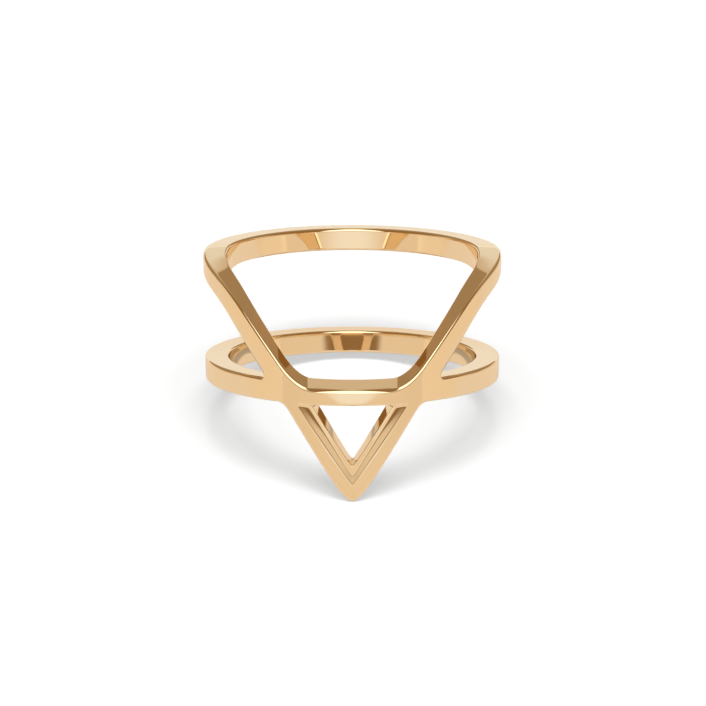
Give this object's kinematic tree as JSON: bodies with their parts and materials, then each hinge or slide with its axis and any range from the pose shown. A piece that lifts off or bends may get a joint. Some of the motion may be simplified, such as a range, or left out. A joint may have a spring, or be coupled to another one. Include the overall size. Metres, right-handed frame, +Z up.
{
  "type": "gold finger ring",
  "caption": "Polished gold finger ring: narrow bands one above the other, joined by slanting arms that cross the lower band and meet in a point below it.",
  "frame": {"origin": "the table surface under the middle of the ring's bounding box, as the ring lies at rest", "axes": "+Z up from the table; -Y towards the front, where the point is; +X to the right of a viewer in front; the finger hole's axis leans back by 18.1 degrees from +Z towards +Y"},
  "size_m": [0.0202, 0.024, 0.0126],
  "materials": {
    "gold": "polished 14k yellow gold"
  },
  "bodies": {
    "root": {"ring": "gold"}
  },
  "joints": []
}
